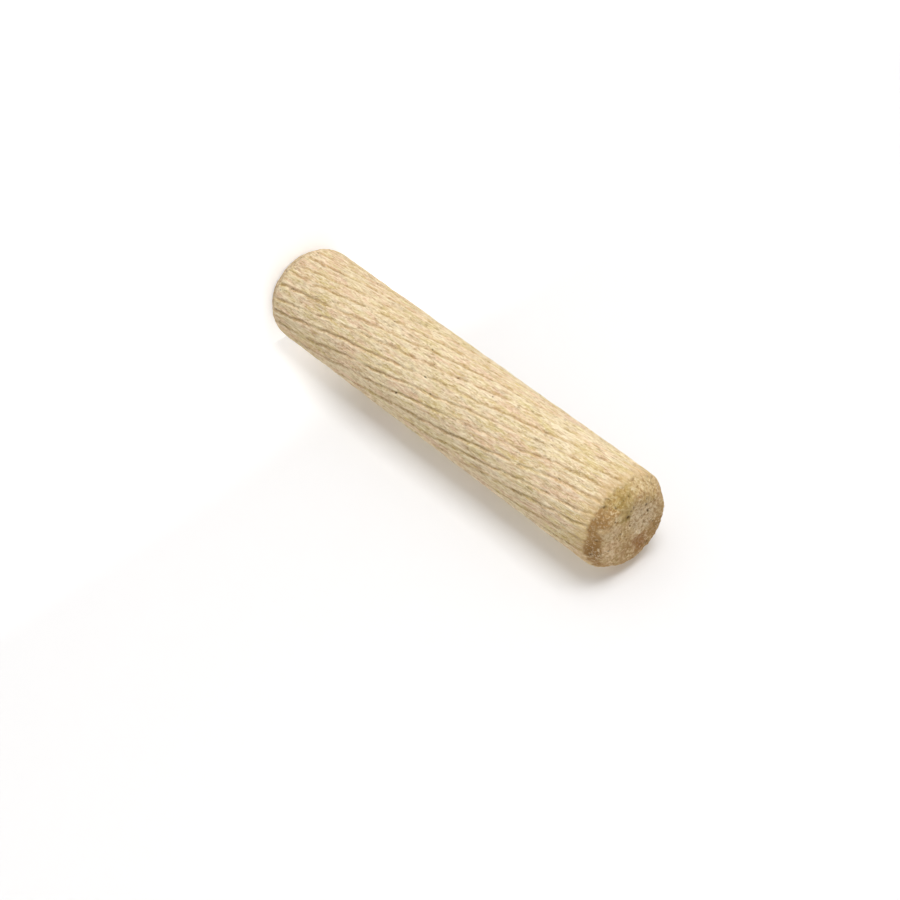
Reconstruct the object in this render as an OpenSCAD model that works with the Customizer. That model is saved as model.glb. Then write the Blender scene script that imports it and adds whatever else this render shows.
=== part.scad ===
// Wooden dowel pin with helical flutes and chamfered ends, standing on one end.
// All sizes are in millimetres. The axis is +Z and the lower end face lies at Z = 0.

/* [Pin] */
// Diameter over the lands between the flutes
pin_d = 10; // [5:0.5:20]
// Length from end face to end face
pin_length = 48; // [30:1:120]

/* [Ends] */
// Length of each chamfer along the axis
chamfer_length = 1.6; // [0.8:0.1:2.4]
// Width of each chamfer across the radius
chamfer_width = 1.2; // [0.4:0.1:1.6]
// Radius that softens the edges between body, chamfer and end face
edge_radius = 0.5; // [0.1:0.1:0.6]

/* [Flutes] */
// Number of flutes around the pin
flute_count = 38; // [12:1:44]
// Share of the spacing between two flutes that one flute takes up
flute_share = 0.32; // [0.1:0.02:0.44]
// Depth of a flute below the lands
flute_depth = 0.2; // [0.1:0.02:0.3]
// Turn of the flutes from end to end in degrees, positive for a left-hand helix
flute_turn = 96; // [-180:2:180]

/* [Wood] */
// Colour of the bare wood
wood_color = "BurlyWood"; // [BurlyWood, Wheat, Tan]

/* [Hidden] */

pin_r = pin_d / 2;
face_r = pin_r - chamfer_width;
corner_steps = 5;
flute_spacing = 360 / flute_count;
// The section that cuts the flutes reaches past the end faces by this much.
end_overlap = 1;
section_length = pin_length + 2 * end_overlap;
section_turn = flute_turn * section_length / pin_length;
// One straight step of a flute turns by at most about this angle.
turn_step = 6;
flute_steps = max(2, ceil(abs(section_turn) / turn_step));

// Arc of radius r that rounds the corner at b between straight runs to a and to c.
function rounded_corner(a, b, c, r) =
    let (
        to_a = (a - b) / norm(a - b),
        to_c = (c - b) / norm(c - b),
        half_angle = acos(to_a * to_c) / 2,
        middle = (to_a + to_c) / norm(to_a + to_c),
        centre = b + middle * r / sin(half_angle),
        start = b + to_a * r / tan(half_angle) - centre,
        sweep = 180 - 2 * half_angle
    )
    [for (i = [0:corner_steps])
        let (t = sweep * i / corner_steps)
        centre + [start[0] * cos(t) - start[1] * sin(t), start[0] * sin(t) + start[1] * cos(t)]];

// Corners of half the lengthwise outline, as [radius, height], running anticlockwise.
outline_corners = [
    [0, 0],
    [face_r, 0],
    [pin_r, chamfer_length],
    [pin_r, pin_length - chamfer_length],
    [face_r, pin_length],
    [0, pin_length]
];

// The outline with its four outer corners rounded.
function pin_outline(corners) =
    concat(
        [corners[0]],
        [for (i = [1:4])
            each rounded_corner(corners[i - 1], corners[i], corners[i + 1], edge_radius)],
        [corners[5]]
    );

// Turned blank: a cylinder with a chamfer and a flat face at each end.
module turned_blank() {
    rotate_extrude($fn = 180)
        polygon(pin_outline(outline_corners));
}

// Cross-section with a V-shaped notch for each flute. The lands stand clear of the blank, and the
// notches widen in step with them, so the lands of the pin keep the blank's own round wall.
module fluted_section() {
    root_r = pin_r - flute_depth;
    land_r = pin_r + flute_depth;
    half_mouth = flute_spacing * flute_share;
    polygon([
        for (i = [0:flute_count - 1])
            let (middle = i * flute_spacing)
            for (p = [[land_r, middle - half_mouth], [root_r, middle], [land_r, middle + half_mouth]])
                p[0] * [cos(p[1]), sin(p[1])]
    ]);
}

// The flutes wind along the whole pin and run out where each chamfer drops below their roots.
module dowel_pin() {
    color(wood_color)
        intersection() {
            turned_blank();
            translate([0, 0, -end_overlap])
                linear_extrude(height = section_length, twist = section_turn, slices = flute_steps)
                    fluted_section();
        }
}

dowel_pin();
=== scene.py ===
import math

import bpy
import numpy as np
from bpy.props import FloatProperty, FloatVectorProperty, IntProperty, PointerProperty
from mathutils import Matrix, Vector


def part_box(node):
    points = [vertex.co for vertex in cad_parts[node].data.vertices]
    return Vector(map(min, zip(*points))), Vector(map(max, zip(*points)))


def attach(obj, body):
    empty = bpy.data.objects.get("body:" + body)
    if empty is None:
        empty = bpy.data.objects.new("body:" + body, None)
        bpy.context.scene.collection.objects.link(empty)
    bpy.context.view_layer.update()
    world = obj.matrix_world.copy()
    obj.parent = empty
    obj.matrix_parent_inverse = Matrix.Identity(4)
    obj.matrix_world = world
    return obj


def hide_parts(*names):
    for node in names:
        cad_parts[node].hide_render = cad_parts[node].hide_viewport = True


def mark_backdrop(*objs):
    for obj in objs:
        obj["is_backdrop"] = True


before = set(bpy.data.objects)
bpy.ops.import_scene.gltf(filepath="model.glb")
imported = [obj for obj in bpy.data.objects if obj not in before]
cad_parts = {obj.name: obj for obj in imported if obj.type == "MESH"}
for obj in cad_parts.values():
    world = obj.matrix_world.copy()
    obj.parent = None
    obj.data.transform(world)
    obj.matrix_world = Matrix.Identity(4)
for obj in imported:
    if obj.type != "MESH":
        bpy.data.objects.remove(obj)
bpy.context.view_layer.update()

bl_info = {
    "name": "Fluted dowel pin",
    "version": (1, 0, 0),
    "blender": (4, 5, 0),
    "location": "3D View > Sidebar > Dowel Pin",
    "description": "Makes a fluted wooden dowel pin and a plain studio to show it in",
    "category": "Object",
}

MM = 0.001
PIN_LOW, PIN_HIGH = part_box("dowel_pin")


# ---------------------------------------------------------------- settings

def linear(red, green, blue):
    """The linear colour of an sRGB colour whose parts run from 0 to 255."""
    parts = [c / 255 for c in (red, green, blue)]
    return tuple(c / 12.92 if c <= 0.04045 else ((c + 0.055) / 1.055) ** 2.4 for c in parts)


def length_setting(name, description, default):
    return FloatProperty(
        name=name, description=description, default=default, min=0, subtype="DISTANCE",
        unit="LENGTH", precision=5,
    )


def angle_setting(name, description, degrees):
    return FloatProperty(
        name=name, description=description, default=math.radians(degrees), subtype="ANGLE",
        unit="ROTATION",
    )


def colour_setting(name, description, default):
    return FloatVectorProperty(
        name=name, description=description, default=default, min=0, max=1, size=3,
        subtype="COLOR",
    )


class PinSettings(bpy.types.PropertyGroup):
    """Sizes of the pin and of the marks that its making left."""

    radius: length_setting("Radius", "Radius over the lands", (PIN_HIGH.x - PIN_LOW.x) / 2)
    length: length_setting("Length", "Length from face to face", PIN_HIGH.z - PIN_LOW.z)
    chamfer_length: length_setting("Chamfer length", "Chamfer along the axis", 1.6 * MM)
    chamfer_width: length_setting("Chamfer width", "Chamfer across the radius", 1.2 * MM)
    edge_softness: length_setting("Edge softness", "How far the end edges are worn", 0.30 * MM)
    flute_count: IntProperty(
        name="Flutes", description="Number of flutes around the pin", default=23, min=3,
    )
    flute_turn: angle_setting(
        "Flute turn", "Turn of the flutes over the length, left-handed", 104)
    flute_width: length_setting("Flute width", "Width of a flute's mouth", 0.42 * MM)
    flute_depth: length_setting("Flute depth", "Depth of a flute below the lands", 0.2 * MM)
    flute_wander: length_setting("Flute wander", "How far a flute strays sideways", 0.13 * MM)
    seed: IntProperty(name="Seed", description="Start of the random marks", default=7, min=0)


class WoodSettings(bpy.types.PropertyGroup):
    """Colours of the bare wood, some of them also used as painted shade and painted highlights."""

    straw: colour_setting("Straw", "Most of the side", linear(235, 217, 181))
    # Cream also gives the painted highlight on each flute's lit lip, and painted glints on the
    # upper end.
    cream: colour_setting("Cream", "Raised and freshly torn fibres", linear(250, 236, 206))
    # Ochre also gives painted shade along the flutes' troughs and towards the upper end.
    ochre: colour_setting("Ochre", "Darker bands along the grain", linear(205, 172, 119))
    pink: colour_setting("Pink", "Pinkish heartwood", linear(229, 195, 164))
    green: colour_setting("Green", "Yellow-green stain", linear(217, 198, 137))
    # Bruise colours crushed wood, and in the flutes' dark lines it is also painted shade at their
    # roots.
    bruise_and_shade: colour_setting("Bruise", "Crushed wood in the flutes", linear(168, 132, 82))
    # Pit darkens pores, cracks and pits: partly dark wood and partly painted shade in their
    # depths.
    pit: colour_setting("Pit", "Depths of pores and pits", linear(84, 58, 28))
    cut: colour_setting("Cut", "Rough wood of the chamfers", linear(186, 151, 101))
    sunlit: colour_setting("Pale cut", "Paler side of the upper chamfer", linear(213, 189, 142))
    end_grain: colour_setting("End grain", "Wood of the end faces", linear(191, 162, 115))
    # Scorch browns one side of the upper chamfer and the far rim of its face, partly as painted
    # shade.
    scorch_and_shade: colour_setting("Scorch", "Browned side of the upper chamfer", linear(150, 112, 64))
    olive: colour_setting("Olive", "Stain on the upper end", linear(178, 154, 86))
    moss: colour_setting("Moss", "Darkest spots of that stain", linear(140, 116, 58))
    ash: colour_setting("Ash", "Grey middle of the upper face", linear(206, 186, 156))
    # Rust reddens a hollow of the upper face, partly as painted shade within it.
    rust: colour_setting("Rust", "Red-brown mark on the upper face", linear(152, 106, 64))


class StageSettings(bpy.types.PropertyGroup):
    """Camera and light."""

    view_azimuth: angle_setting("Azimuth", "Where the camera stands around the pin", 85.512)
    view_elevation: angle_setting("Elevation", "How far the camera looks down", 34.0)
    view_roll: angle_setting(
        "Roll", "How far the camera leans, which lays the pin down in view", -127.03)
    view_distance: length_setting("Distance", "From the camera to the aim", 221.75 * MM)
    view_aim: FloatVectorProperty(
        name="Aim", description="Point that the camera looks at", size=3,
        default=(-0.93 * MM, 4.38 * MM, 25.89 * MM), subtype="TRANSLATION", unit="LENGTH",
    )
    view_lens: FloatProperty(
        name="Lens", description="Focal length in millimetres on a 36 mm sensor", default=92.24,
    )
    key_level: FloatProperty(
        name="Key light", description="Light on a surface that faces the key lamp", default=0.84,
    )
    fill_level: FloatProperty(
        name="Back fill", description="Light on a surface that faces the back fill lamp",
        default=0.45,
    )
    sky_level: FloatProperty(
        name="Sky light", description="Light that comes from all round", default=0.69,
    )
    key_azimuth: angle_setting("Key azimuth", "Where the key lamp stands around the pin", 47.0)
    backdrop_azimuth: angle_setting(
        "Backdrop azimuth", "Side that the backdrop's front faces", 54.0)


# ---------------------------------------------------------------- values of the shape, in mm

# The outline is worked out in short steps. Its rows lie END_ROW apart on the ends and up to
# END_REACH past them, and SIDE_ROW apart between, before they are evened out to OUTLINE_ROWS.
OUTLINE_STEP = 0.02
OUTLINE_ROWS = 324
END_ROW, END_REACH = 0.13, 1.2
SIDE_ROW = 0.2

# Columns across a flute's mouth, and across the land after it.
MOUTH_COLUMNS, LAND_COLUMNS = 7, 6

# Sheets of noise: one that wraps the side, and flat ones over the ends.
SIDE_SHEET_LENGTH, SIDE_ROWS_PER_MM, SIDE_SHEET_COLUMNS = 48, 20, 640
END_SHEET_SAMPLES, END_SAMPLES_PER_MM = 512, 40

# Noise of the side: blur across and along the grain, and height. Noise of the ends: blur, height.
SIDE_NOISE = {
    "fibre": (0.07, 0.8, 0.012), "ridge": (0.2, 1.5, 0.008), "lump": (0.35, 0.45, 0.006),
    "broad": (1.6, 5.0, 0.008),
}
END_NOISE = {"grit": (0.09, 0.026), "crumb": (0.28, 0.014), "swell": (1.0, 0.018)}

# Lines of noise along each flute. Its wander and its strength, 1 for full depth, are sums of
# them, each with its share and its blur. FLUTES_ALIKE is the blur from a flute to the next.
FLUTE_SAMPLES, FLUTES_ALIKE = 512, 0.01
WANDER_NOISE = ((0.7, 4.0), (0.4, 0.9), (0.3, 0.3))
STRENGTH_NOISE = ((0.13, 2.5), (0.20, 0.4))
MEAN_STRENGTH, LEAST_STRENGTH, MOST_STRENGTH = 0.58, 0.12, 1.3
FLUTE_ROUNDNESS = 0.85

# The shoulder beside a flute: its middle's distance from the mouth, width, height and how far
# lumps vary that height. SAG_HEIGHT is half the dip along a land.
SHOULDER_GAP, SHOULDER_WIDTH, SHOULDER_HEIGHT, SHOULDER_LUMPS = 0.03, 0.10, 0.027, 0.4
SAG_HEIGHT = 0.010

# The torn edge between side and chamfer: the drop below the lands at which it starts and ends,
# how far lumps and tears shift it, and the blur of the tears. A shift is weaker on the side: it
# fades in with the drop over EDGE_SPREAD, starting EDGE_EASE above the lands.
EDGE_START, EDGE_END, EDGE_LUMPS, EDGE_TEARS = 0.05, 0.28, 0.03, 0.06
EDGE_EASE, EDGE_SPREAD = 0.12, 0.3
TEAR_BLUR = (0.12, 0.16)

# The edge between chamfer and face: the normal's axial part at which the face's wood starts and
# is full, and how far crumbs shift it.
FACE_START, FACE_FULL, FACE_CRUMBS = 0.62, 0.84, 0.10

# Pores and torn spots of the side, with least and most values.
PORES, PORES_IN_FLUTES, PORE_MARGIN, PORE_SCATTER, PORE_DEPTH = 260, 0.62, 1.2, 0.05, 0.10
PORE_WIDTHS, PORE_HEIGHTS, PORE_SHARES = (0.05, 0.12), (0.07, 0.20), (0.45, 1.0)

# Short cracks that start in the flutes. Their turns from the grain are in radians, and their
# darkness is a share of a pore's.
CRACKS, CRACK_MARGIN, CRACK_WIDTH, CRACK_BEND, CRACK_DEPTH = 110, 1.5, 0.09, 0.35, 0.06
CRACK_TURNS, CRACK_LENGTHS = (0.1, 0.7), (0.3, 0.8)
CRACK_FADE_IN, CRACK_FADE_OUT, CRACK_ROOM, CRACK_DARKNESS = 0.1, 0.3, 0.5, 0.5

# Small pits of both ends, with least and most values. Crumbs and grit make pits uneven, by a
# factor between PIT_STRETCH's two.
PITS, PIT_DEPTH = 260, 0.14
PIT_SIZES, PIT_SHARES = (0.05, 0.14), (0.3, 1.0)
PIT_CRUMBS, PIT_GRIT, PIT_STRETCH = 0.3, 0.15, (0.8, 2)

# Large pits of the upper end: place across the axis, radius and share of the full depth.
LARGE_PITS = (
    (2.05, -0.66, 0.20, 0.9), (2.60, -0.22, 0.13, 0.6), (0.71, -2.49, 0.15, 0.9),
    (3.43, -2.32, 0.14, 0.7), (3.75, -1.71, 0.12, 0.6), (4.73, -0.22, 0.17, 1.0),
    (4.85, -0.55, 0.12, 0.6), (2.60, 3.75, 0.16, 0.6), (2.10, 3.50, 0.12, 0.5),
    (-2.60, 0.90, 0.12, 0.6), (-0.60, -3.60, 0.12, 0.7), (-1.00, 2.10, 0.08, 0.6),
)

# Swells (+) and hollows (-) of the upper end: place across the axis, radius and height.
END_SWELLS = (
    (-1.8, 0.9, 0.8, -0.17), (-0.7, 0.2, 0.45, 0.09), (1.2, 1.7, 1.1, 0.10),
    (3.2, 2.9, 0.9, -0.12), (3.3, -0.9, 0.8, -0.10), (0.4, -1.4, 1.2, -0.06),
    (1.6, -2.9, 0.8, 0.08), (-1.0, 3.0, 0.9, -0.06), (2.3, 0.6, 0.5, 0.06),
)

# The lower end's relief is sunk by FACE_INSET and cut off at its plane, so the pin stands flat.
# Relief fades out towards a pole over CALM.
FACE_INSET, CALM = 0.03, 0.5

# How far the place beside a flute is told to the wood, in half mouths.
LEAN_LIMIT = 4


# ---------------------------------------------------------------- values of the wood

# Noises: the place that they read, how far they are squeezed along the grain, their offset,
# scale per mm, detail, roughness and distortion. Those that read "untwisted" follow the flutes.
WOOD_NOISES = {
    "drift": ("mm", 0.13, (0, 0, 0), 0.55, 3, 0.55, 0),
    "warm": ("mm", 0.22, (7, 3, 5), 0.85, 3, 0.55, 0),
    "sour": ("mm", 0.25, (31, 12, 9), 0.95, 3, 0.58, 0),
    "streak": ("mm", 0.08, (0, 0, 0), 7.0, 3, 0.6, 0),
    "pressed": ("untwisted", 0.12, (4, 4, 4), 5.5, 3, 0.65, 0),
    "vessel": ("mm", 0.16, (2, 6, 1), 8.0, 1, 0.5, 0),
    "mottle": ("untwisted", 0.32, (0, 0, 0), 6.0, 4, 0.72, 0.8),
    "crumbs": ("mm", 0.2, (0, 0, 0), 6.5, 3, 0.7, 0),
    "hue": ("mm", 0.2, (3, 8, 2), 2.4, 3, 0.65, 0),
    "web": ("untwisted", 0.6, (5, 2, 1), 1.6, 3, 0.6, 1.2),
    "torn": ("untwisted", 0.6, (1, 9, 3), 1.1, 2, 0.5, 0),
    "ragged": ("untwisted", 0.7, (2, 8, 4), 4.2, 3, 0.65, 0),
    "broken": ("untwisted", 0.8, (6, 1, 7), 1.7, 3, 0.65, 0),
    "patch": ("mm", 1, (0, 0, 0), 0.9, 4, 0.6, 0),
    "speck": ("mm", 1, (0, 0, 0), 3.2, 4, 0.68, 0),
    "rough": ("mm", 1, (8, 2, 6), 0.7, 2, 0.5, 0),
    "flake": ("mm", 1, (4, 4, 4), 4.6, 2, 0.6, 0),
    "fine": ("mm", 0.18, (0, 0, 0), 9.0, 3, 0.65, 0),
    "curled": ("untwisted", 0.32, (0, 0, 0), 7.5, 3, 0.7, 0.8),
    "fuzz": ("mm", 1, (0, 0, 0), 6.0, 4, 0.7, 0),
}

# Colours laid over one another: noise, colour, the noise's values where the colour starts to
# show and where it shows most, and its share there.
SIDE_LAYERS = (
    ("drift", "ochre", 0.42, 0.68, 0.5),
    ("warm", "pink", 0.47, 0.58, 0.9),
    ("sour", "green", 0.50, 0.62, 0.75),
    ("streak", "ochre", 0.52, 0.68, 0.4),
    ("streak", "cream", 0.48, 0.34, 0.5),
    ("pressed", "ochre", 0.52, 0.62, 0.35),
    ("pressed", "cream", 0.47, 0.38, 0.6),
    ("vessel", "bruise_and_shade", 0.60, 0.68, 0.5),
    ("mottle", "bruise_and_shade", 0.53, 0.66, 0.4),
    ("mottle", "cream", 0.48, 0.38, 0.6),
    ("crumbs", "bruise_and_shade", 0.55, 0.66, 0.55),
    ("crumbs", "cream", 0.46, 0.37, 0.75),
    ("hue", "pink", 0.52, 0.62, 0.30),
    ("hue", "green", 0.48, 0.38, 0.35),
)
FACE_LAYERS = (("patch", "pink", 0.46, 0.62, 0.25),)
SPECK_LAYERS = (("speck", "scorch_and_shade", 0.50, 0.60, 0.75), ("speck", "straw", 0.48, 0.39, 0.6))
FLAKE_LAYERS = (("flake", "cream", 0.62, 0.70, 0.3), ("flake", "bruise_and_shade", 0.36, 0.30, 0.7))

# Height in mm at which the side starts to darken, as painted shade, towards the upper end, and is
# darkest.
DARKER_FROM, DARKEST_AT = 43.8, 46.6

# Drifts of colour: name, centre in mm, full and last reach in mm, and strength. Those of the
# first two lists lie under the roughness of the end, and the stains lie over it.
CHAMFER_DRIFTS = (
    # On the chamfer, the scorch drifts are partly painted shade and the sunlit drifts partly
    # painted light.
    ("sunlit", (2.1, -4.4, 47.1), 1.8, 3.7, 0.95), ("sunlit", (4.7, -1.2, 46.6), 0.3, 1.5, 0.5),
    ("olive", (4.0, -2.0, 47.2), 0.9, 2.0, 0.65), ("scorch_and_shade", (3.6, 3.0, 47.2), 1.7, 3.2, 0.9),
    ("scorch_and_shade", (0.4, 4.6, 47.2), 1.2, 3.0, 0.8), ("scorch_and_shade", (2.6, 3.8, 47.0), 0.3, 1.2, 0.5),
    ("cream", (0.0, 0.0, 0.0), 5.6, 7.5, 0.7),
)
FACE_DRIFTS = (
    ("olive", (3.2, -1.4, 48.0), 0.6, 1.9, 0.55), ("olive", (1.0, -3.2, 48.0), 0.3, 1.4, 0.6),
    ("ash", (0.0, -1.5, 48.0), 1.0, 2.4, 0.8), ("ash", (1.7, -1.5, 48.0), 0.4, 1.2, 0.5),
    ("ash", (2.9, 1.5, 48.0), 0.6, 1.7, 0.4), ("pink", (1.4, 2.7, 48.0), 0.5, 1.5, 0.4),
    # The rust drifts lie in a hollow, partly as painted shade, and the scorch drifts along the rim
    # are partly painted shade.
    ("rust", (-2.1, 0.7, 48.0), 0.7, 1.5, 0.8), ("rust", (-0.6, 1.7, 48.0), 0.4, 1.5, 0.3),
    ("scorch_and_shade", (-3.5, -1.6, 48.0), 0.8, 2.5, 0.8), ("scorch_and_shade", (-3.4, 1.6, 48.0), 0.7, 2.1, 0.8),
    ("scorch_and_shade", (-1.4, 3.0, 48.0), 0.5, 1.8, 0.4), ("cut", (1.5, -3.4, 48.0), 0.3, 1.5, 0.4),
    ("straw", (0.0, 0.0, 0.0), 4.2, 5.5, 0.4),
)
STAINS = (
    ("olive", (4.1, -1.7, 47.1), 0.6, 1.5, 0.30), ("moss", (3.4, -2.3, 47.5), 0.15, 0.50, 0.65),
    ("moss", (3.8, -1.7, 47.5), 0.10, 0.55, 0.60), ("moss", (4.7, -0.3, 46.8), 0.15, 0.55, 0.60),
    ("olive", (2.7, -0.7, 48.0), 0.4, 1.2, 0.35), ("moss", (2.1, -0.6, 48.0), 0.20, 0.60, 0.80),
    # The rust spots are partly painted shade in a hollow, and the cream spots are painted glints.
    ("moss", (2.6, -0.2, 48.0), 0.15, 0.45, 0.60), ("rust", (-1.5, 0.8, 48.0), 0.35, 0.95, 0.55),
    ("rust", (-2.6, 0.8, 48.0), 0.30, 0.80, 0.60), ("cream", (-0.5, 0.1, 48.0), 0.10, 0.35, 0.60),
    ("cream", (-1.0, 0.0, 48.0), 0.08, 0.30, 0.55), ("cream", (4.0, -2.6, 46.7), 0.10, 0.35, 0.55),
    ("cream", (3.3, -3.2, 47.3), 0.10, 0.35, 0.50),
)

# Scale and reach in mm of the noise that frays the drifts, and height in mm of the relief.
FRAY_SCALE, FRAY_REACH = 1.3, 1.4
RELIEF_HEIGHT = 0.13


# ---------------------------------------------------------------- values of the stage

# Papers: glow far above the floor, glow at the floor, and colour. The lower glow fades out over
# GLOW_FADE metres.
FLOOR_PAPER = (0.4, 0.4, (0.85, 0.85, 0.86))
BACKDROP_PAPER = (0.06, 0.50, (0.70, 0.70, 0.71))
GLOW_FADE = 15 * MM

# Half sides of the sheets in metres, and the backdrop's distance from the axis in pin radii.
FLOOR_REACH = 3
BACKDROP_REACH, BACKDROP_RISE = 0.6, 0.3
BACKDROP_GAP = 1.02

# Distance and sizes of the lamps in metres, and their elevations in degrees.
LAMP_DISTANCE = 0.5
KEY_SIZE, KEY_ELEVATION = 0.28, 8
FILL_SIZE, FILL_ELEVATION = 0.4, 15
SKY_TINT = (1.0, 0.975, 0.93)
WHITE = (1, 1, 1)

SENSOR_WIDTH = 36
NEAREST, FARTHEST = 0.01, 10


# ---------------------------------------------------------------- surfaces

class PinSizes:
    """The settings' sizes in mm, with the girth and the flutes' spacing that follow from them."""

    def __init__(self, settings):
        self.radius, self.length = settings.radius / MM, settings.length / MM
        self.face_radius = self.radius - settings.chamfer_width / MM
        self.chamfer = settings.chamfer_length / MM
        self.softness = settings.edge_softness / MM
        self.flutes, self.turn = settings.flute_count, settings.flute_turn
        self.girth = 2 * math.pi * self.radius
        self.spacing = self.girth / self.flutes
        self.mouth, self.depth = settings.flute_width / MM, settings.flute_depth / MM
        self.wander = settings.flute_wander / MM

    def flute_middle(self, flute, height):
        """Place around the pin of a flute that doesn't stray: its number times the spacing,
        turned back by the flutes' turn times the height over the length."""
        return flute * self.spacing - self.turn * height / self.length * self.radius


def soft_noise(rng, shape, blur):
    """White noise blurred by a Gaussian of `blur` samples along each axis, spread of one.

    It is blurred by its Fourier transform, so it wraps round at every edge."""
    spectrum = np.fft.rfft2(rng.standard_normal(shape))
    rows = np.fft.fftfreq(shape[0])[:, None] * blur[0]
    columns = np.fft.rfftfreq(shape[1])[None, :] * blur[1]
    spectrum *= np.exp(-2 * math.pi ** 2 * (rows ** 2 + columns ** 2))
    field = np.fft.irfft2(spectrum, shape)
    return (field - field.mean()) / field.std()


def read_sheet(sheet, row, column):
    """Value of a wrapping sheet at a row and a column given as shares of it, mixed from the
    four nearest samples."""
    high, wide = sheet.shape
    y, x = (row % 1) * high, (column % 1) * wide
    y0, x0 = np.floor(y).astype(int), np.floor(x).astype(int)
    fy, fx = y - y0, x - x0
    y0, x0, y1, x1 = y0 % high, x0 % wide, (y0 + 1) % high, (x0 + 1) % wide
    upper = sheet[y0, x0] * (1 - fx) + sheet[y0, x1] * fx
    lower = sheet[y1, x0] * (1 - fx) + sheet[y1, x1] * fx
    return upper * (1 - fy) + lower * fy


def smooth_step(low, high, value):
    """0 below low, 1 above high, and an S-shaped rise between them."""
    t = np.clip((value - low) / (high - low), 0, 1)
    return t * t * (3 - 2 * t)


def pin_outline(pin):
    """Half the lengthwise outline in mm, from the lower pole to the upper one.

    Straight runs along face, chamfer, side, chamfer and face are averaged with a Gaussian over
    their run, which wears the corners round. Rows lie closer on the ends than on the side.
    Returns the radius, the height, and the outward normal's radial and axial parts."""
    face, rise, length = pin.face_radius, pin.chamfer, pin.length
    corners = np.array([
        (-face, 0), (0, 0), (face, 0), (pin.radius, rise), (pin.radius, length - rise),
        (face, length), (0, length), (-face, length),
    ])
    runs = np.concatenate([[0], np.cumsum(np.linalg.norm(np.diff(corners, axis=0), axis=1))])
    walk = np.arange(0, runs[-1], OUTLINE_STEP)
    line = np.stack([np.interp(walk, runs, corners[:, k]) for k in (0, 1)], axis=1)

    reach = int(4 * pin.softness / OUTLINE_STEP)
    away = np.arange(-reach, reach + 1) * OUTLINE_STEP
    window = np.exp(-0.5 * (away / pin.softness) ** 2)
    window /= window.sum()
    padded = np.pad(line, ((reach, reach), (0, 0)), mode="edge")
    line = np.stack([np.convolve(padded[:, k], window, "valid") for k in (0, 1)], axis=1)
    keep = (walk >= runs[1]) & (walk <= runs[-2])
    walk, line = walk[keep] - runs[1], line[keep]
    line[0, 0] = line[-1, 0] = 0

    end_run = runs[3] - runs[1] + END_REACH
    near_end = (walk < end_run) | (walk > walk[-1] - end_run)
    density = np.where(near_end, 1 / END_ROW, 1 / SIDE_ROW)
    count = np.concatenate([[0], np.cumsum(density[1:] * np.diff(walk))])
    places = np.interp(np.linspace(0, count[-1], OUTLINE_ROWS), count, walk)
    r, z = (np.interp(places, walk, line[:, k]) for k in (0, 1))
    tr, tz = (np.interp(places, walk, np.gradient(line[:, k], walk)) for k in (0, 1))
    size = np.hypot(tr, tz)
    return r, z, tz / size, -tr / size


def flute_columns(mouth_share):
    """Places of the columns across one flute and the land after it, as shares of the spacing
    from the flute's middle: evenly over the flute's mouth, and evenly over the land."""
    mouth = np.linspace(-mouth_share, mouth_share, MOUTH_COLUMNS) / 2
    land = np.linspace(mouth_share / 2, 1 - mouth_share / 2, LAND_COLUMNS + 2)[1:-1]
    return np.concatenate([mouth, land])


def flute_grid(rng, pin, z):
    """Columns that follow the flutes, at each of the heights z.

    A column lies at its flute's place plus its own, and strays by a mix of the strays of its
    flute and the next, by its share of the spacing between them. Returns the columns' places
    around the pin, their places beside the nearest flute's middle, that flute's strength, and
    the stray of every flute."""
    def along_flutes(blur_mm):
        """One blurred line of noise along each flute, read at the heights."""
        blur = (FLUTES_ALIKE, blur_mm * FLUTE_SAMPLES / pin.length)
        lines = soft_noise(rng, (pin.flutes, FLUTE_SAMPLES), blur)
        at = z / pin.length * (FLUTE_SAMPLES - 1)
        return np.stack([np.interp(at, np.arange(FLUTE_SAMPLES), line) for line in lines], axis=1)

    stray = pin.wander * sum(share * along_flutes(blur) for share, blur in WANDER_NOISE)
    strength = sum((share * along_flutes(blur) for share, blur in STRENGTH_NOISE), MEAN_STRENGTH)
    strength = np.clip(strength, LEAST_STRENGTH, MOST_STRENGTH)

    places = flute_columns(pin.mouth / pin.spacing)
    flute = np.arange(pin.flutes)
    after = (flute + 1) % pin.flutes
    share = np.clip(places, 0, 1)
    moved = stray[:, :, None] * (1 - share) + stray[:, after, None] * share
    arc = flute[:, None] * pin.spacing + (places * pin.spacing + moved)

    to_this = np.broadcast_to(places * pin.spacing, moved.shape)
    to_next = to_this - pin.spacing
    use_next = np.abs(to_next) < np.abs(to_this)
    beside = np.where(use_next, to_next, to_this)
    nearest = np.where(use_next, strength[:, after, None], strength[:, :, None])
    return (*(grid.reshape(len(z), -1) for grid in (arc, beside, nearest)), stray)


def dents(pin, across, along, spots, sizes, depths):
    """Greatest of many small round dents: each is its depth times exp(-distance squared over
    size squared), with distances taken along the surface and wrapped round the pin."""
    total = np.zeros_like(across)
    for (a, z), (wide, tall), deep in zip(spots, sizes, depths):
        near = np.abs(along[:, 0] - z) < 3 * tall
        da = (across[near] - a + pin.girth / 2) % pin.girth - pin.girth / 2
        dz = along[near] - z
        total[near] = np.maximum(total[near], deep * np.exp(-(da / wide) ** 2 - (dz / tall) ** 2))
    return total


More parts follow.
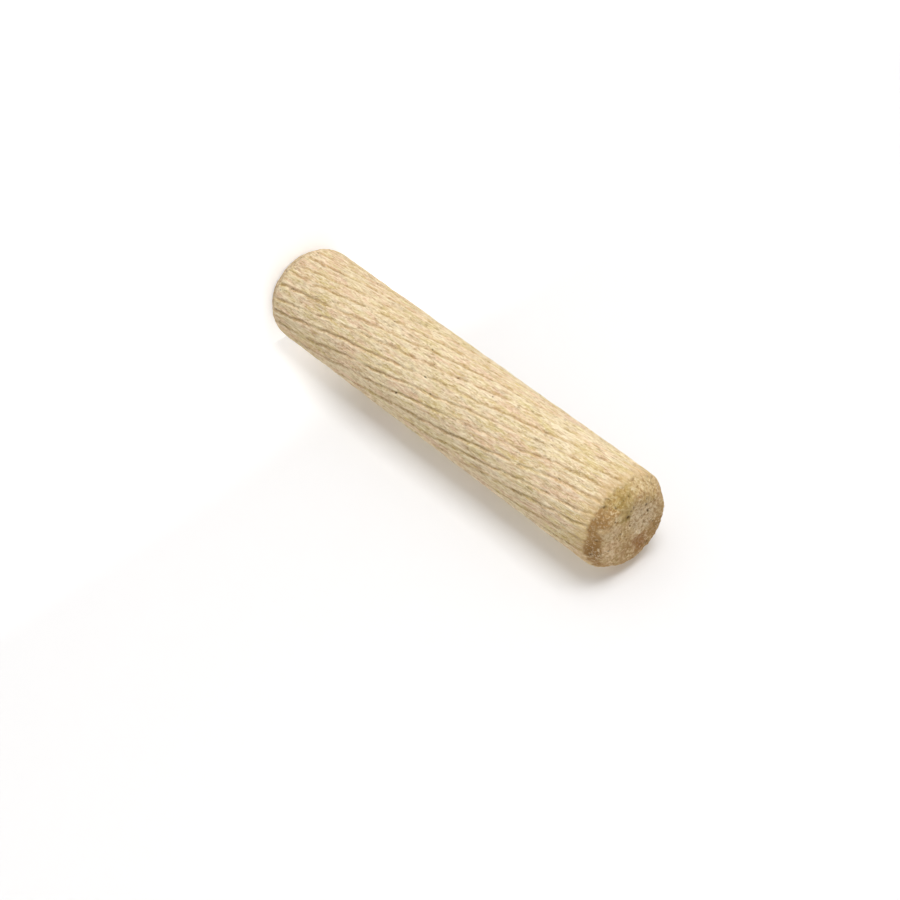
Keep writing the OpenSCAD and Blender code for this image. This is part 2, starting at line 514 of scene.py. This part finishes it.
def side_pores(rng, pin, z, stray, across, along):
    """Pores and torn spots as dents of the side. Most lie in the flutes, a little beside the
    middle that their flute has strayed to."""
    in_flute = rng.random(PORES) < PORES_IN_FLUTES
    height = rng.uniform(PORE_MARGIN, pin.length - PORE_MARGIN, PORES)
    flute = rng.integers(0, pin.flutes, PORES)
    strayed = np.array([np.interp(at, z, stray[:, k]) for at, k in zip(height, flute)])
    flute_place = pin.flute_middle(flute, height) + strayed + rng.normal(0, PORE_SCATTER, PORES)
    place = np.where(in_flute, flute_place, rng.uniform(0, pin.girth, PORES)) % pin.girth
    sizes = np.stack([rng.uniform(*PORE_WIDTHS, PORES), rng.uniform(*PORE_HEIGHTS, PORES)], 1)
    depths = rng.uniform(*PORE_SHARES, PORES)
    return dents(pin, across, along, np.stack([place, height], 1), sizes, depths)


def side_cracks(rng, pin, across, along):
    """Greatest of many short curved cracks that start in the flutes: each is 1 on a line that
    bends by the square of its run, falls off as a Gaussian of the distance from it, and fades
    at both ends of the line."""
    height = rng.uniform(CRACK_MARGIN, pin.length - CRACK_MARGIN, CRACKS)
    place = pin.flute_middle(rng.integers(0, pin.flutes, CRACKS), height) % pin.girth
    turns = rng.choice([-1, 1], CRACKS) * rng.uniform(*CRACK_TURNS, CRACKS)
    lengths = rng.uniform(*CRACK_LENGTHS, CRACKS)
    total = np.zeros_like(across)
    for a, z, turn, size in zip(place, height, turns, lengths):
        near = np.abs(along[:, 0] - z) < size + CRACK_ROOM
        da = (across[near] - a + pin.girth / 2) % pin.girth - pin.girth / 2
        dz = along[near] - z
        run = da * math.sin(turn) + dz * math.cos(turn)
        off = da * math.cos(turn) - dz * math.sin(turn) - CRACK_BEND * run * run / size
        fade = smooth_step(-CRACK_FADE_IN, CRACK_FADE_IN, run)
        fade = fade * (1 - smooth_step(size - CRACK_FADE_OUT, size, run))
        total[near] = np.maximum(total[near], fade * np.exp(-(off / CRACK_WIDTH) ** 2))
    return total


def end_pits(rng, pin, x, y, upper, uneven):
    """Greatest of the pits of both ends: each is its depth times exp(-distance squared over
    size squared), with the distance stretched by `uneven`. The small ones are scattered over
    both ends, and the large ones lie on the upper end."""
    turn, out = rng.uniform(0, 2 * math.pi, PITS), pin.radius * np.sqrt(rng.random(PITS))
    small = zip(out * np.cos(turn), out * np.sin(turn), rng.uniform(*PIT_SIZES, PITS),
                rng.uniform(*PIT_SHARES, PITS), rng.random(PITS) < 0.5)
    total = np.zeros_like(x)
    for at_x, at_y, size, deep, on_upper in [*small, *((*large, True) for large in LARGE_PITS)]:
        apart = np.hypot(x - at_x, y - at_y) * uneven
        total = np.maximum(total, deep * np.exp(-(apart / size) ** 2) * (upper == on_upper))
    return total


def pin_surface(settings):
    """The pin's skin as a function of a row along its outline and a column that follows a flute.

    A column's angle is its flute's place, turned back by the flutes' turn times the height over
    the length, plus the flute's own wander. The point is the outline moved along its normal by
    the sum of the flutes, the shoulders beside them, fibres, dents and the rough ends."""
    rng = np.random.default_rng(settings.seed)
    pin = PinSizes(settings)
    r, z, nr, nz = pin_outline(pin)
    arc, beside, strength, stray = flute_grid(rng, pin, z)
    helix = -pin.turn * z / pin.length
    angle = arc / pin.radius + helix[:, None]
    across = (angle * pin.radius) % pin.girth
    along = np.broadcast_to(z[:, None], angle.shape)
    ring = np.broadcast_to(r[:, None], angle.shape)
    slope = np.broadcast_to(np.abs(nz)[:, None], angle.shape)
    x, y = ring * np.cos(angle), ring * np.sin(angle)
    upper = along > pin.length / 2

    def side_sheet(across_mm, along_mm):
        """Noise over the side, blurred across and along the grain."""
        shape = (SIDE_SHEET_LENGTH * SIDE_ROWS_PER_MM, SIDE_SHEET_COLUMNS)
        blur = (along_mm * SIDE_ROWS_PER_MM, across_mm * SIDE_SHEET_COLUMNS / pin.girth)
        sheet = soft_noise(rng, shape, blur)
        return read_sheet(sheet, along / SIDE_SHEET_LENGTH, across / pin.girth)

    def end_sheet(blur_mm):
        """Noise over both ends, read where a point lies across the axis."""
        shape, blur = (END_SHEET_SAMPLES,) * 2, (blur_mm * END_SAMPLES_PER_MM,) * 2
        width = END_SHEET_SAMPLES / END_SAMPLES_PER_MM
        sheets = [soft_noise(rng, shape, blur) for _ in range(2)]
        values = [read_sheet(s, y / width, x / width) for s in sheets]
        return np.where(upper, values[0], values[1])

    side = {name: side_sheet(*blur) for name, (*blur, _) in SIDE_NOISE.items()}
    ends = {name: end_sheet(blur) for name, (blur, _) in END_NOISE.items()}

    # Shares of the ends, with a ragged edge, and of their faces.
    drop = pin.radius - ring
    ragged = EDGE_LUMPS * side["lump"] + EDGE_TEARS * side_sheet(*TEAR_BLUR)
    torn_drop = drop + ragged * smooth_step(0.0, EDGE_SPREAD, drop + EDGE_EASE)
    ended = smooth_step(EDGE_START, EDGE_END, torn_drop)
    on_side = 1 - ended
    faced = smooth_step(FACE_START, FACE_FULL, slope + FACE_CRUMBS * ends["crumb"])

    # Flutes, with a shoulder pressed up on each side and a shallow dip along the land.
    half = pin.mouth / 2
    vee = np.clip(1 - np.abs(beside) / half, 0, 1) ** FLUTE_ROUNDNESS
    flute = np.clip(pin.depth * strength - drop, 0, None) * vee
    from_shoulder = np.abs(beside) - half - SHOULDER_GAP
    shoulder = np.exp(-(from_shoulder / SHOULDER_WIDTH) ** 2) * on_side
    sag = np.cos(np.clip(np.abs(beside) / (pin.spacing / 2), 0, 1) * math.pi)

    pore = side_pores(rng, pin, z, stray, across, along) * on_side
    crack = side_cracks(rng, pin, across, along) * on_side
    uneven = np.clip(1 + PIT_CRUMBS * ends["crumb"] + PIT_GRIT * ends["grit"], *PIT_STRETCH)
    pit = end_pits(rng, pin, x, y, upper, uneven) * ended

    side_move = sum(high * side[name] for name, (*_, high) in SIDE_NOISE.items())
    side_move += SHOULDER_HEIGHT * shoulder * (1 + SHOULDER_LUMPS * side["lump"])
    side_move += SAG_HEIGHT * sag
    side_move -= PORE_DEPTH * pore
    side_move -= CRACK_DEPTH * crack
    end_move = sum(high * ends[name] for name, (_, high) in END_NOISE.items())
    end_move += upper * sum(
        high * np.exp(-np.hypot(x - at_x, y - at_y) ** 2 / size ** 2)
        for at_x, at_y, size, high in END_SWELLS)
    end_move -= PIT_DEPTH * pit
    move = side_move * on_side - flute + end_move * ended
    inward = np.where(upper, 0, slope) * ended
    move = move * (1 - inward) + np.minimum(move - FACE_INSET, 0) * inward
    move *= smooth_step(0.0, CALM, ring)

    px = (ring + nr[:, None] * move) * np.cos(angle)
    py = (ring + nr[:, None] * move) * np.sin(angle)
    pz = along + nz[:, None] * move
    points = np.stack([px, py, np.maximum(pz, 0)], axis=-1) * MM

    straight = angle - helix[:, None]
    untwisted = np.stack(
        [pin.radius * np.cos(straight), pin.radius * np.sin(straight), along], axis=-1)
    masks = {
        "bite": np.clip(strength - drop / pin.depth, 0, MOST_STRENGTH),
        "lean": np.clip(beside / half, -LEAN_LIMIT, LEAN_LIMIT),
        "pore": np.clip(np.maximum(pore, CRACK_DARKNESS * crack), 0, 1),
        "pit": pit,
        "ended": ended,
        "faced": faced,
    }
    return points, masks, untwisted


def closed_skin(name, points, masks, untwisted):
    """Mesh of a grid of points whose columns wrap round and whose first and last rows shrink to
    a pole each. Quads join neighbours, and a fan of triangles closes each pole."""
    rows, columns = points.shape[:2]
    body = points[1:-1].reshape(-1, 3)
    low, high = points[0].mean(axis=0), points[-1].mean(axis=0)
    vertices = np.concatenate([body, [low], [high]])
    ring = np.arange((rows - 2) * columns).reshape(rows - 2, columns)
    a, b = ring[:-1], np.roll(ring[:-1], -1, axis=1)
    c, d = np.roll(ring[1:], -1, axis=1), ring[1:]
    quads = np.stack([a, b, c, d], axis=-1).reshape(-1, 4)
    low_at, high_at = len(body), len(body) + 1
    first, last = ring[0], ring[-1]
    low_fan = np.stack([np.full(columns, low_at), np.roll(first, -1), first], axis=-1)
    high_fan = np.stack([np.full(columns, high_at), last, np.roll(last, -1)], axis=-1)
    mesh = bpy.data.meshes.new(name)
    mesh.from_pydata(vertices.tolist(), [], quads.tolist() + low_fan.tolist() + high_fan.tolist())
    mesh.polygons.foreach_set("use_smooth", np.ones(len(mesh.polygons), dtype=bool))

    def per_vertex(grid):
        inner = grid[1:-1].reshape((-1,) + grid.shape[2:])
        return np.concatenate([inner, grid[0].mean(axis=0)[None], grid[-1].mean(axis=0)[None]])

    for key, grid in masks.items():
        layer = mesh.attributes.new(key, "FLOAT", "POINT")
        layer.data.foreach_set("value", per_vertex(grid).astype(np.float32))
    layer = mesh.attributes.new("untwisted", "FLOAT_VECTOR", "POINT")
    layer.data.foreach_set("vector", per_vertex(untwisted).astype(np.float32).ravel())
    mesh.update()
    return mesh


# ---------------------------------------------------------------- materials

class Nodes:
    """Short calls that add nodes to a tree. A value may be a number, a colour or a socket."""

    def __init__(self, tree):
        self.tree = tree
        tree.nodes.clear()

    def add(self, kind, values=(), **options):
        node = self.tree.nodes.new(kind)
        for key, value in options.items():
            setattr(node, key, value)
        for key, value in dict(values).items():
            self.put(node.inputs[key], value)
        return node

    def put(self, socket, value):
        if isinstance(value, bpy.types.NodeSocket):
            self.tree.links.new(value, socket)
        elif socket.type == "RGBA" and len(value) == 3:
            socket.default_value = (*value, 1)
        else:
            socket.default_value = value

    def mix(self, share, first, second):
        """The first colour at a share of 0, and the second at 1."""
        node = self.add("ShaderNodeMix", data_type="RGBA")
        for slot, value in ((0, share), (6, first), (7, second)):
            self.put(node.inputs[slot], value)
        return node.outputs[2]

    def mix_values(self, share, first, second):
        node = self.add("ShaderNodeMix", data_type="FLOAT")
        for slot, value in ((0, share), (2, first), (3, second)):
            self.put(node.inputs[slot], value)
        return node.outputs[0]

    def math(self, operation, first, second=0.0):
        return self.add("ShaderNodeMath", {0: first, 1: second}, operation=operation).outputs[0]

    def plus(self, first, second):
        return self.math("ADD", first, second)

    def minus(self, first, second):
        return self.math("SUBTRACT", first, second)

    def times(self, first, second):
        return self.math("MULTIPLY", first, second)

    def rise(self, value, low, high, start=0.0, end=1.0):
        """start below low, end above high, and an S-shaped rise between them."""
        node = self.add(
            "ShaderNodeMapRange",
            {"Value": value, "From Min": low, "From Max": high, "To Min": start, "To Max": end},
            interpolation_type="SMOOTHSTEP",
        )
        return node.outputs["Result"]

    def band(self, value, middle, inner, outer):
        """1 within inner of the middle value, 0 beyond outer."""
        away = self.math("ABSOLUTE", self.minus(value, middle))
        return self.rise(away, inner, outer, 1, 0)

    def stretched(self, place, scale, move=(0, 0, 0)):
        node = self.add("ShaderNodeMapping", {"Vector": place, "Scale": scale, "Location": move})
        return node.outputs[0]

    def noise(self, place, scale, detail, rough, bend=0.0):
        return self.add(
            "ShaderNodeTexNoise",
            {"Vector": place, "Scale": scale, "Detail": detail, "Roughness": rough,
             "Distortion": bend},
        )

    def mask(self, name):
        return self.add("ShaderNodeAttribute", attribute_name=name).outputs["Fac"]

    def bent(self, place, scale, reach):
        """The place moved by up to about half of reach each way by a noise."""
        shift = self.add(
            "ShaderNodeVectorMath",
            {0: self.noise(place, scale, 3, 0.6).outputs["Color"], 1: (reach,) * 3,
             2: (-reach / 2,) * 3},
            operation="MULTIPLY_ADD",
        )
        total = self.add("ShaderNodeVectorMath", {0: place, 1: shift.outputs[0]}, operation="ADD")
        return total.outputs[0]

    def near(self, place, point, inner, outer):
        """1 within inner of a point, 0 beyond outer."""
        node = self.add("ShaderNodeVectorMath", {0: place, 1: point}, operation="DISTANCE")
        return self.rise(node.outputs["Value"], inner, outer, 1.0, 0.0)


def new_material(name):
    material = bpy.data.materials.new(name)
    material.use_nodes = True
    return material, Nodes(material.node_tree)


class Wood:
    """The bare wood's places, noises and colours, and the finishes made from them."""

    def __init__(self, n, colours):
        self.n, self.colours = n, colours
        place = n.add("ShaderNodeTexCoord").outputs["Object"]
        self.mm = n.stretched(place, (1 / MM,) * 3)
        untwisted = n.add("ShaderNodeAttribute", attribute_name="untwisted").outputs["Vector"]
        places = {"mm": self.mm, "untwisted": untwisted}
        self.noises = {}
        for name, (read, squeeze, move, *values) in WOOD_NOISES.items():
            squeezed = n.stretched(places[read], (1, 1, squeeze), move)
            self.noises[name] = n.noise(squeezed, *values).outputs[0]
        self.frayed = n.bent(self.mm, FRAY_SCALE, FRAY_REACH)

    def laid(self, base, layers, rough=None):
        """A colour with layers over it, each where its noise calls for it. Where a roughness is
        given, a layer's share is scaled by it."""
        n = self.n
        for noise, colour, start, full, share in layers:
            if rough is None:
                shown = n.rise(self.noises[noise], start, full, 0, share)
            else:
                shown = n.times(n.rise(self.noises[noise], start, full), n.times(rough, share))
            base = n.mix(shown, base, getattr(self.colours, colour))
        return base

    def drifted(self, base, drifts):
        """A colour with frayed drifts over it, weaker where patches and specks are strong."""
        n = self.n
        clumps = n.plus(self.noises["patch"], n.times(self.noises["speck"], 0.5))
        for colour, centre, full, last, strength in drifts:
            held = n.rise(clumps, 0.60, 0.84, strength, strength * 0.6)
            share = n.times(n.near(self.frayed, centre, full, last), held)
            base = n.mix(share, base, getattr(self.colours, colour))
        return base

    def side(self):
        """Straw with pink, ochre and green drifts, streaks along the grain, short open vessels,
        crumbled fibres and thin tears. Each flute shows painted shade along its trough, a ragged
        dark line of crushed wood and painted shade, and a painted highlight on its lit lip.
        Returns the colour and the height of the relief."""
        n, noises, colours = self.n, self.noises, self.colours
        colour = self.laid(colours.straw, SIDE_LAYERS)

        # Tears lie where a bent noise passes through its middle value.
        tear = n.times(n.band(noises["web"], 0.5, 0.003, 0.014),
                       n.rise(noises["torn"], 0.54, 0.62))

        # lean is 0 in a flute's middle and 1 at the edge of its mouth, and noise frays it.
        strayed = n.plus(n.mask("lean"), n.times(n.minus(noises["ragged"], 0.5), 2.6))
        cut_in = n.rise(n.mask("bite"), 0.12, 0.68)
        # shade is painted shade along a flute's trough, line a dark line of crushed wood and
        # painted shade at its root, and edge a painted highlight on the lip that faces the key
        # lamp.
        shade = n.times(n.band(strayed, 0, 0.35, 1.1), cut_in)
        line = n.times(n.band(strayed, 0, 0.10, 0.48),
                       n.times(cut_in, n.rise(noises["broken"], 0.44, 0.56, 0.25, 1.0)))
        edge = n.times(n.band(strayed, 1.3, 0.2, 0.8),
                       n.times(cut_in, n.rise(noises["broken"], 0.40, 0.58, 0.4, 1.0)))
        marks = ((tear, 0.6, colours.bruise_and_shade), (shade, 0.3, colours.ochre),
                 (line, 0.43, colours.bruise_and_shade), (edge, 0.45, colours.cream))
        for mark, share, mark_colour in marks:
            colour = n.mix(n.times(mark, share), colour, mark_colour)
        # Pores and cracks darken towards the pit colour, partly as painted shade in their depths.
        colour = n.mix(n.rise(n.mask("pore"), 0.25, 0.75, 0, 0.9), colour, colours.pit)

        # Painted shade: the side darkens towards the upper end, set against the light that its
        # rounded edge catches.
        height = n.add("ShaderNodeSeparateXYZ", {0: self.mm}).outputs["Z"]
        height = n.plus(height, n.times(n.minus(noises["patch"], 0.5), 4.0))
        darker = n.rise(height, DARKER_FROM, DARKEST_AT, 0, 0.5)
        colour = n.mix(darker, colour, colours.ochre)

        relief = n.plus(noises["fine"], noises["curled"])
        for mark, share in ((noises["mottle"], -0.6), (tear, -0.4), (line, -0.3), (edge, 0.25)):
            relief = n.plus(relief, n.times(mark, share))
        return colour, relief

    def ends(self):
        """Chamfers browned on one side, partly as painted shade, and paler on the other, partly as
        painted light, and faces of end grain with faint growth rings and a grey middle. Both are
        speckled, flaked, stained and pitted; some stains are painted glints, the rust lies partly
        as painted shade in a hollow, and the pits are darkened partly as painted shade. Returns
        the colour and the height of the relief."""
        n, noises, colours = self.n, self.noises, self.colours
        rings = n.add(
            "ShaderNodeTexWave",
            {"Vector": n.stretched(self.mm, (1, 1, 0.2), (3, 9, 0)), "Scale": 0.30,
             "Distortion": 2.2, "Detail": 2, "Detail Scale": 0.6},
            wave_type="RINGS", rings_direction="Z",
        ).outputs["Fac"]
        face = n.mix(n.rise(rings, 0.55, 0.95, 0, 0.3), colours.end_grain, colours.cut)
        face = self.drifted(self.laid(face, FACE_LAYERS), FACE_DRIFTS)
        chamfer = self.drifted(colours.cut, CHAMFER_DRIFTS)
        colour = n.mix(n.mask("faced"), chamfer, face)

        rough = n.rise(noises["rough"], 0.42, 0.60, 0.55, 0.95)
        colour = self.laid(self.laid(colour, SPECK_LAYERS, rough), FLAKE_LAYERS)
        # The stains include cream spots that are painted glints.
        colour = self.drifted(colour, STAINS)
        # Pits darken towards the pit colour, partly as painted shade in their depths.
        colour = n.mix(n.rise(n.mask("pit"), 0.25, 0.85, 0, 0.85), colour, colours.pit)
        return colour, n.minus(noises["fuzz"], n.times(noises["speck"], 1.5))


def wood_material(colours):
    """Bare beech, dull all over, with the side's finish and that of the rougher ends. Its relief
    is of fibres too fine for the mesh."""
    material, n = new_material("bare_wood")
    wood = Wood(n, colours)
    ended = n.mask("ended")
    (side, side_relief), (ends, end_relief) = wood.side(), wood.ends()
    bump = n.add(
        "ShaderNodeBump",
        {"Strength": 1.0, "Distance": RELIEF_HEIGHT * MM,
         "Height": n.mix_values(ended, side_relief, end_relief)},
    )
    shader = n.add(
        "ShaderNodeBsdfPrincipled",
        {"Base Color": n.mix(ended, side, ends),
         "Roughness": n.rise(wood.noises["fuzz"], 0.3, 0.7, 0.72, 0.9),
         "Specular IOR Level": 0.25, "Normal": bump.outputs[0]},
    )
    n.add("ShaderNodeOutputMaterial", {"Surface": shader.outputs[0]})
    return material


def ray_share(n):
    """1 for rays that show the stage to the camera, in a mirror or through glass."""
    path = n.add("ShaderNodeLightPath")
    seen = n.math("MAXIMUM", path.outputs["Is Camera Ray"], path.outputs["Is Glossy Ray"])
    return n.math("MAXIMUM", seen, path.outputs["Is Transmission Ray"])


def paper_material(name, paper, one_sided):
    """White paper that keeps shadows: plain diffuse, plus a glow that only seen rays meet, and
    another level of it near the floor. One that is one-sided is clear from behind and for every
    ray that isn't seen."""
    glow, foot_glow, colour = paper
    material, n = new_material(name)
    seen = ray_share(n)
    place = n.add("ShaderNodeTexCoord").outputs["Object"]
    height = n.add("ShaderNodeSeparateXYZ", {0: place}).outputs["Z"]
    level = n.rise(height, 0.0, GLOW_FADE, foot_glow, glow)
    diffuse = n.add("ShaderNodeBsdfDiffuse", {"Color": colour})
    lit = n.add("ShaderNodeEmission", {"Color": WHITE, "Strength": n.times(seen, level)})
    surface = n.add("ShaderNodeAddShader", {0: diffuse.outputs[0], 1: lit.outputs[0]}).outputs[0]
    if one_sided:
        back = n.add("ShaderNodeNewGeometry").outputs["Backfacing"]
        hidden = n.math("MAXIMUM", back, n.minus(1.0, seen))
        clear = n.add("ShaderNodeBsdfTransparent")
        mixed = n.add("ShaderNodeMixShader", {0: hidden, 1: surface, 2: clear.outputs[0]})
        surface = mixed.outputs[0]
    n.add("ShaderNodeOutputMaterial", {"Surface": surface})
    return material


# ---------------------------------------------------------------- stage

def direction(azimuth, elevation):
    """Unit vector towards azimuth, counted from -Y towards +X, and elevation."""
    return Vector((
        math.sin(azimuth) * math.cos(elevation),
        -math.cos(azimuth) * math.cos(elevation),
        math.sin(elevation),
    ))


def link(name, data, material=None):
    piece = bpy.data.objects.new(name, data)
    bpy.context.scene.collection.objects.link(piece)
    if material:
        data.materials.append(material)
    return piece


def flat_sheet(name, centre, right, up, material):
    """Flat sheet centred on a point, whose half sides are the vectors right and up."""
    corners = [centre + a * right + b * up for a, b in ((-1, -1), (1, -1), (1, 1), (-1, 1))]
    mesh = bpy.data.meshes.new(name)
    mesh.from_pydata([tuple(c) for c in corners], [], [(0, 1, 2, 3)])
    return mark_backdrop(link(name, mesh, material))


def set_papers(stage, pin):
    """A floor, and a backdrop that stands close behind the pin, seen from its front."""
    floor = paper_material("floor_paper", FLOOR_PAPER, one_sided=False)
    flat_sheet("floor", Vector((0, 0, 0)), Vector((FLOOR_REACH, 0, 0)),
               Vector((0, FLOOR_REACH, 0)), floor)
    backdrop = paper_material("backdrop_paper", BACKDROP_PAPER, one_sided=True)
    facing = direction(stage.backdrop_azimuth, 0)
    sideways = Vector((0, 0, 1)).cross(facing)
    rise = Vector((0, 0, BACKDROP_RISE))
    flat_sheet("backdrop", -facing * pin.radius * BACKDROP_GAP + rise,
               sideways * BACKDROP_REACH, rise, backdrop)


def lamp(name, azimuth, elevation, size, level, aim):
    """Square lamp that gives `level` on a surface facing it: power is level times pi squared
    times distance squared."""
    towards = direction(azimuth, math.radians(elevation))
    data = bpy.data.lights.new(name, "AREA")
    data.size = size
    data.energy = level * math.pi ** 2 * LAMP_DISTANCE ** 2
    piece = link(name, data)
    piece.location = aim + towards * LAMP_DISTANCE
    piece.rotation_euler = towards.to_track_quat("Z", "Y").to_euler()


def set_lights(stage, pin):
    """A key lamp, a weaker one opposite it, and a sky that is white where it is seen."""
    middle = Vector((0, 0, pin.length / 2))
    key = stage.key_azimuth
    lamp("key", key, KEY_ELEVATION, KEY_SIZE, stage.key_level, middle)
    lamp("back_fill", key + math.pi, FILL_ELEVATION, FILL_SIZE, stage.fill_level, middle)
    world = bpy.data.worlds.new("sky")
    world.use_nodes = True
    n = Nodes(world.node_tree)
    seen = ray_share(n)
    level = n.plus(n.times(seen, 1 - stage.sky_level), stage.sky_level)
    sky = n.add(
        "ShaderNodeBackground", {"Color": n.mix(seen, SKY_TINT, WHITE), "Strength": level})
    n.add("ShaderNodeOutputWorld", {"Surface": sky.outputs[0]})
    bpy.context.scene.world = world


def set_camera(stage):
    """A camera that looks back along `back` and leans by the roll."""
    back = direction(stage.view_azimuth, stage.view_elevation)
    level_right = Vector((0, 0, 1)).cross(back).normalized()
    level_up = back.cross(level_right)
    up = level_up * math.cos(stage.view_roll) + level_right * math.sin(stage.view_roll)
    right = up.cross(back)
    data = bpy.data.cameras.new("camera")
    data.lens, data.sensor_width = stage.view_lens, SENSOR_WIDTH
    data.clip_start, data.clip_end = NEAREST, FARTHEST
    camera = link("camera", data)
    axes = Matrix((right, up, back)).transposed().to_4x4()
    place = Vector(stage.view_aim) + back * stage.view_distance
    camera.matrix_world = Matrix.Translation(place) @ axes
    bpy.context.scene.camera = camera


# ---------------------------------------------------------------- operators

class PIN_OT_fluted_pin(bpy.types.Operator):
    """Make the fluted pin and its bare wood"""

    bl_idname = "pin.fluted_pin"
    bl_label = "Fluted Pin"

    def execute(self, context):
        points, masks, untwisted = pin_surface(context.scene.pin_sizes)
        mesh = closed_skin("fluted_pin", points, masks, untwisted)
        piece = link("fluted_pin", mesh, wood_material(context.scene.pin_wood))
        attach(piece, "root")
        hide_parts("dowel_pin")
        return {"FINISHED"}


class PIN_OT_stage(bpy.types.Operator):
    """Set out the floor, the backdrop, the lamps and the camera"""

    bl_idname = "pin.stage"
    bl_label = "Stage"

    def execute(self, context):
        scene = context.scene
        set_papers(scene.pin_stage, scene.pin_sizes)
        set_lights(scene.pin_stage, scene.pin_sizes)
        set_camera(scene.pin_stage)
        scene.view_settings.view_transform = "Standard"
        return {"FINISHED"}


class PIN_PT_panel(bpy.types.Panel):
    """Lists the pieces of the pin and its stage"""

    bl_idname = "PIN_PT_panel"
    bl_label = "Dowel Pin"
    bl_space_type = "VIEW_3D"
    bl_region_type = "UI"
    bl_category = "Dowel Pin"

    def draw(self, context):
        for operator, group in (("pin.fluted_pin", context.scene.pin_sizes),
                                (None, context.scene.pin_wood),
                                ("pin.stage", context.scene.pin_stage)):
            column = self.layout.column()
            for key in group.__annotations__:
                column.prop(group, key)
            if operator:
                column.operator(operator)


SETTINGS = {"pin_sizes": PinSettings, "pin_wood": WoodSettings, "pin_stage": StageSettings}
CLASSES = (*SETTINGS.values(), PIN_OT_fluted_pin, PIN_OT_stage, PIN_PT_panel)


def register():
    for each in CLASSES:
        bpy.utils.register_class(each)
    for key, group in SETTINGS.items():
        setattr(bpy.types.Scene, key, PointerProperty(type=group))


def unregister():
    for key in SETTINGS:
        delattr(bpy.types.Scene, key)
    for each in reversed(CLASSES):
        bpy.utils.unregister_class(each)


def main():
    register()
    bpy.ops.pin.fluted_pin()
    bpy.ops.pin.stage()


if __name__ == "__main__":
    main()
